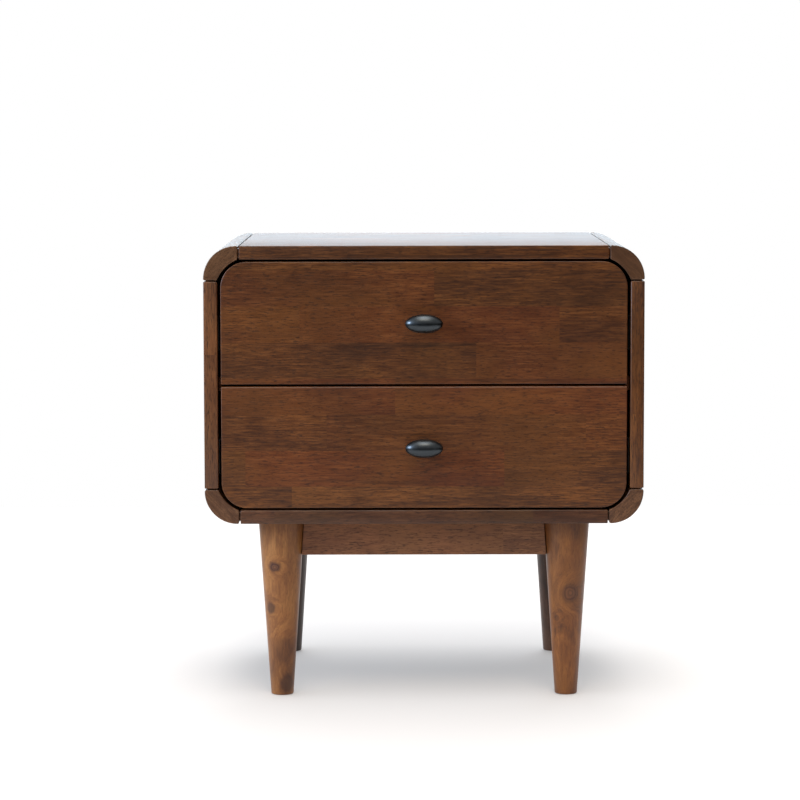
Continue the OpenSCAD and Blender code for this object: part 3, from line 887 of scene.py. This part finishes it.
# Knobs: an oval turned about its length, on a short post with a foot
print("knobs")
knobLook = {
    "fullness": 2.0,  # 2 is an ellipse, more is blunter at the ends
    "rings": 40,
    "segments": 56,
    "postRadius": 0.0062,
    "footRadius": 0.0085,
    "footThick": 0.0016,
    "footFlare": (2, 0.8),  # where the flare begins and ends, in foot thicknesses
    "postSides": 40,
}


def makeKnob(level, look):
    node = level + "_knob"
    low, high = nodeBox(node)
    halfLength = (high.x - low.x) / 2
    radius = (high.z - low.z) / 2
    centre = Vector(((low.x + high.x) / 2, low.y + radius, (low.z + high.z) / 2))
    shape = bmesh.new()
    bmesh.ops.create_uvsphere(shape, u_segments=look["segments"], v_segments=look["rings"],
                              radius=1.0, matrix=Matrix.Rotation(math.pi / 2, 4, "Y"))
    full = look["fullness"]
    for vert in shape.verts:
        along = min(abs(vert.co.x), 1.0)
        around = math.hypot(vert.co.y, vert.co.z)
        wanted = (1 - along ** full) ** (1 / full)
        grow = wanted / around if around > near else 0.0
        vert.co = Vector((vert.co.x * halfLength, vert.co.y * grow * radius,
                          vert.co.z * grow * radius)) + centre
    # The post's outline from the oval to the foot, spun about its own axis
    post, foot = look["postRadius"], look["footRadius"]
    flareStart, flareEnd = (high.y - look["footThick"] * share for share in look["footFlare"])
    profile = [(post, centre.y), (post, flareStart), (foot, flareEnd), (foot, high.y)]
    verts = [shape.verts.new((centre.x + r, y, centre.z)) for r, y in profile]
    edges = [shape.edges.new(pair) for pair in zip(verts, verts[1:])]
    bmesh.ops.spin(shape, geom=verts + edges, cent=centre, axis=(0, 1, 0), angle=2 * math.pi,
                   steps=look["postSides"], use_merge=True)
    rims = [e for e in shape.edges if e.is_boundary]
    bmesh.ops.holes_fill(shape, edges=rims)
    finishPiece("knob_" + level, shape, node, gunmetal)


for level in ("upper", "lower"):
    makeKnob(level, knobLook)

# Pan-head screws that face the rear: a domed head with a cross recess on a plain shank
print("screws")
screwLook = {
    "sides": 24,
    "recess": (0.16, 0.62),  # half an arm's width and its reach, as shares of the head's radius
    "recessDepth": 0.6,  # share of the head's height
    "dome": [(0.8, 0.0), (0.93, 0.18), (1.0, 0.5), (1.0, 1.0)],
}
machineScrew = {"head": 0.0045, "headHeight": 0.0024, "shank": 0.002}
screwSizes = {
    "back_panel_screws": {"head": 0.0035, "headHeight": 0.0015, "shank": 0.00175,
                          "rows": (-0.08, 0.08), "columns": (-0.18, 0, 0.18)},
    "upper_front_screws": machineScrew,
    "lower_front_screws": machineScrew,
    "upper_knob_screw": machineScrew,
    "lower_knob_screw": machineScrew,
}


# One screw at a spot, its head's top at y = top and its tip at y = tip
def addScrew(shape, x, top, tip, z, size, look):
    begun = set(shape.verts)
    narrow, reach = (share * size["head"] for share in look["recess"])
    grid = bmesh.ops.create_grid(shape, x_segments=3, y_segments=3, size=1.0)
    for vert in grid["verts"]:
        for axis in (0, 1):
            part = vert.co[axis]
            vert.co[axis] = math.copysign(reach if abs(part) > 0.5 else narrow, part)
    faces = [f for f in shape.faces if f.verts[0] in grid["verts"]]
    corners = [f for f in faces if all(abs(c) > narrow for c in f.calc_center_median()[:2])]
    cross = [f for f in faces if f not in corners]
    bmesh.ops.delete(shape, geom=corners, context="FACES")
    rim = [e for e in shape.edges if e.is_boundary and e.link_faces[0] in cross]
    ring = bmesh.ops.create_circle(shape, segments=look["sides"],
                                   radius=look["dome"][0][0] * size["head"])
    loop = [e for e in shape.edges if e.verts[0] in ring["verts"]]
    bmesh.ops.bridge_loops(shape, edges=rim + loop)
    pit = bmesh.ops.extrude_face_region(shape, geom=cross)
    pitVerts = [v for v in pit["geom"] if isinstance(v, bmesh.types.BMVert)]
    bmesh.ops.translate(shape, vec=(0, 0, -look["recessDepth"] * size["headHeight"]), verts=pitVerts)
    bmesh.ops.delete(shape, geom=[f for f in cross if f.is_valid], context="FACES")
    rings = [(r * size["head"], d * size["headHeight"]) for r, d in look["dome"][1:]]
    rings += [(size["shank"], size["headHeight"]), (size["shank"], top - tip)]
    for nextRadius, nextDepth in rings:
        grown = bmesh.ops.extrude_edge_only(shape, edges=loop)["geom"]
        verts = [v for v in grown if isinstance(v, bmesh.types.BMVert)]
        for vert in verts:
            flat = vert.co.to_2d().normalized() * nextRadius
            vert.co = Vector((flat.x, flat.y, -nextDepth))
        loop = [e for e in grown if isinstance(e, bmesh.types.BMEdge)]
    bmesh.ops.holes_fill(shape, edges=loop)
    turn = Matrix.Translation((x, top, z)) @ Matrix.Rotation(-math.pi / 2, 4, "X")
    bmesh.ops.transform(shape, matrix=turn, verts=[v for v in shape.verts if v not in begun])


def makeScrews(node, size, look):
    low, high = nodeBox(node)
    inset = Vector((size["head"], 0, size["head"]))
    first, last, centre = low + inset, high - inset, middle(node)
    if "rows" in size:
        spots = [(x, centre.z + row) for x in (first.x, last.x) for row in size["rows"]]
        spots += [(centre.x + column, z) for column in size["columns"] for z in (first.z, last.z)]
    else:
        spots = [(x, z) for x in sorted({round(first.x, 6), round(last.x, 6)})
                 for z in sorted({round(first.z, 6), round(last.z, 6)})]
    shape = bmesh.new()
    for x, z in spots:
        addScrew(shape, x, high.y, low.y, z, size, look)
    finishPiece("screws_" + node, shape, node, zinc)


for node, size in screwSizes.items():
    makeScrews(node, size, screwLook)

# Base
print("base")
legLook = {"segments": 80, "footRound": 0.0016, "footSteps": 3, "footRadius": 0.0144,
           "topRadius": 0.0296, "seeds": (11.0, 14.0, 17.0, 20.0)}
# Knots: sideways from the leg's axis, which way they face (-1 is forward) and height, then their
# size in metres, how flat they are and how dark
legKnots = {
    "leg_front_left": [
        {"at": (-0.0082, -1, 0.1690), "radius": 0.0082, "flatness": 1.3, "depth": 0.95},
        {"at": (-0.0140, -1, 0.1150), "radius": 0.0075, "flatness": 0.95, "depth": 0.75},
        {"at": (0.0040, -1, 0.0600), "radius": 0.0120, "flatness": 0.7, "depth": 0.35},
        {"at": (0.0070, -1, 0.0150), "radius": 0.0105, "flatness": 0.8, "depth": 0.75}],
    "leg_front_right": [
        {"at": (0.0040, -1, 0.1340), "radius": 0.0115, "flatness": 0.95, "depth": 0.7},
        {"at": (-0.0130, -1, 0.1010), "radius": 0.0050, "flatness": 1.2, "depth": 0.5}],
    "leg_rear_left": [
        {"at": (-0.0100, 1, 0.0900), "radius": 0.0080, "flatness": 1.2, "depth": 0.6}],
    "leg_rear_right": [
        {"at": (0.0060, 1, 0.1500), "radius": 0.0090, "flatness": 1.1, "depth": 0.6}],
}


def legRadius(height, look, legHeight):
    return look["footRadius"] + (look["topRadius"] - look["footRadius"]) * height / legHeight


def makeLeg(node, look, knots, seed):
    low, high = nodeBox(node)
    centre = (low + high) / 2
    height = high.z - low.z
    placed = []
    for knot in knots:
        across, facing, z = knot["at"]
        reach = math.sqrt(max(legRadius(z, look, height) ** 2 - across ** 2, 0))
        placed.append({"place": (centre.x + across, centre.y + facing * reach, z),
                       "radius": knot["radius"], "depth": knot["depth"],
                       "flatness": knot["flatness"]})
    # The rear legs' colours carry painted shade
    wood = dict(legWoods[node])
    wood["knots"] = placed
    material = woodMaterial("stained_rubberwood_" + node, wood, "Z", "X", seed)
    shape = bmesh.new()
    bmesh.ops.create_cone(shape, cap_ends=True, segments=look["segments"],
                          radius1=look["footRadius"], radius2=look["topRadius"], depth=height,
                          matrix=Matrix.Translation(centre))
    rim = [e for e in shape.edges if all(abs(v.co.z - low.z) < near for v in e.verts)]
    roundEdges(shape, rim, look["footRound"], look["footSteps"])
    finishPiece("base_" + node, shape, node, material)


for seed, (node, knots) in zip(legLook["seeds"], legKnots.items()):
    makeLeg(node, legLook, knots, seed)

apronLook = {"ease": 0.0009, "gap": 0.0016, "thicknessCuts": 7, "heightCuts": 3}


# An apron between two legs, its ends hollowed to follow them
def makeApron(node, legA, legB, material, look):
    low, high = nodeBox(node)
    centreA, centreB = middle(legA), middle(legB)
    run = 0 if abs(centreA.x - centreB.x) > abs(centreA.y - centreB.y) else 1
    side = 1 - run
    legHeight = nodeBox(legA)[1].z
    shape = startBoard(low, high)
    bmesh.ops.subdivide_edges(shape, edges=edgesAlong(shape, "xy"[side]),
                              cuts=look["thicknessCuts"], use_grid_fill=True)
    bmesh.ops.subdivide_edges(shape, edges=edgesAlong(shape, "z"),
                              cuts=look["heightCuts"], use_grid_fill=True)
    for vert in shape.verts:
        for end, leg in ((low[run], centreA), (high[run], centreB)):
            if abs(vert.co[run] - end) < near:
                offset = vert.co[side] - leg[side]
                radius = legRadius(vert.co.z, legLook, legHeight) + look["gap"] / 2
                inward = 1 if leg[run] < 0 else -1
                vert.co[run] = leg[run] + inward * math.sqrt(radius ** 2 - offset ** 2)
    finishPiece("base_" + node, shape, node, material, look["ease"])


makeApron("front_apron", "leg_front_left", "leg_front_right", apronAlongXPaintedLight, apronLook)
makeApron("rear_apron", "leg_rear_left", "leg_rear_right", apronAlongXPaintedLight, apronLook)
makeApron("left_apron", "leg_front_left", "leg_rear_left", apronAlongYPaintedLight, apronLook)
makeApron("right_apron", "leg_front_right", "leg_rear_right", apronAlongYPaintedLight, apronLook)

# CAD nodes that stay, with their finish
print("finishes")
for name, node in frame["nodes"].items():
    if node.hide_render:
        continue
    if slotOf[name] == "pale_wood":
        finish = paleAlongY if name == "corner_braces" else paleAlongX
    elif slotOf[name] == "black_rail":
        finish = blackCoat
    else:
        finish = zinc
    node.data.materials.clear()
    node.data.materials.append(finish)
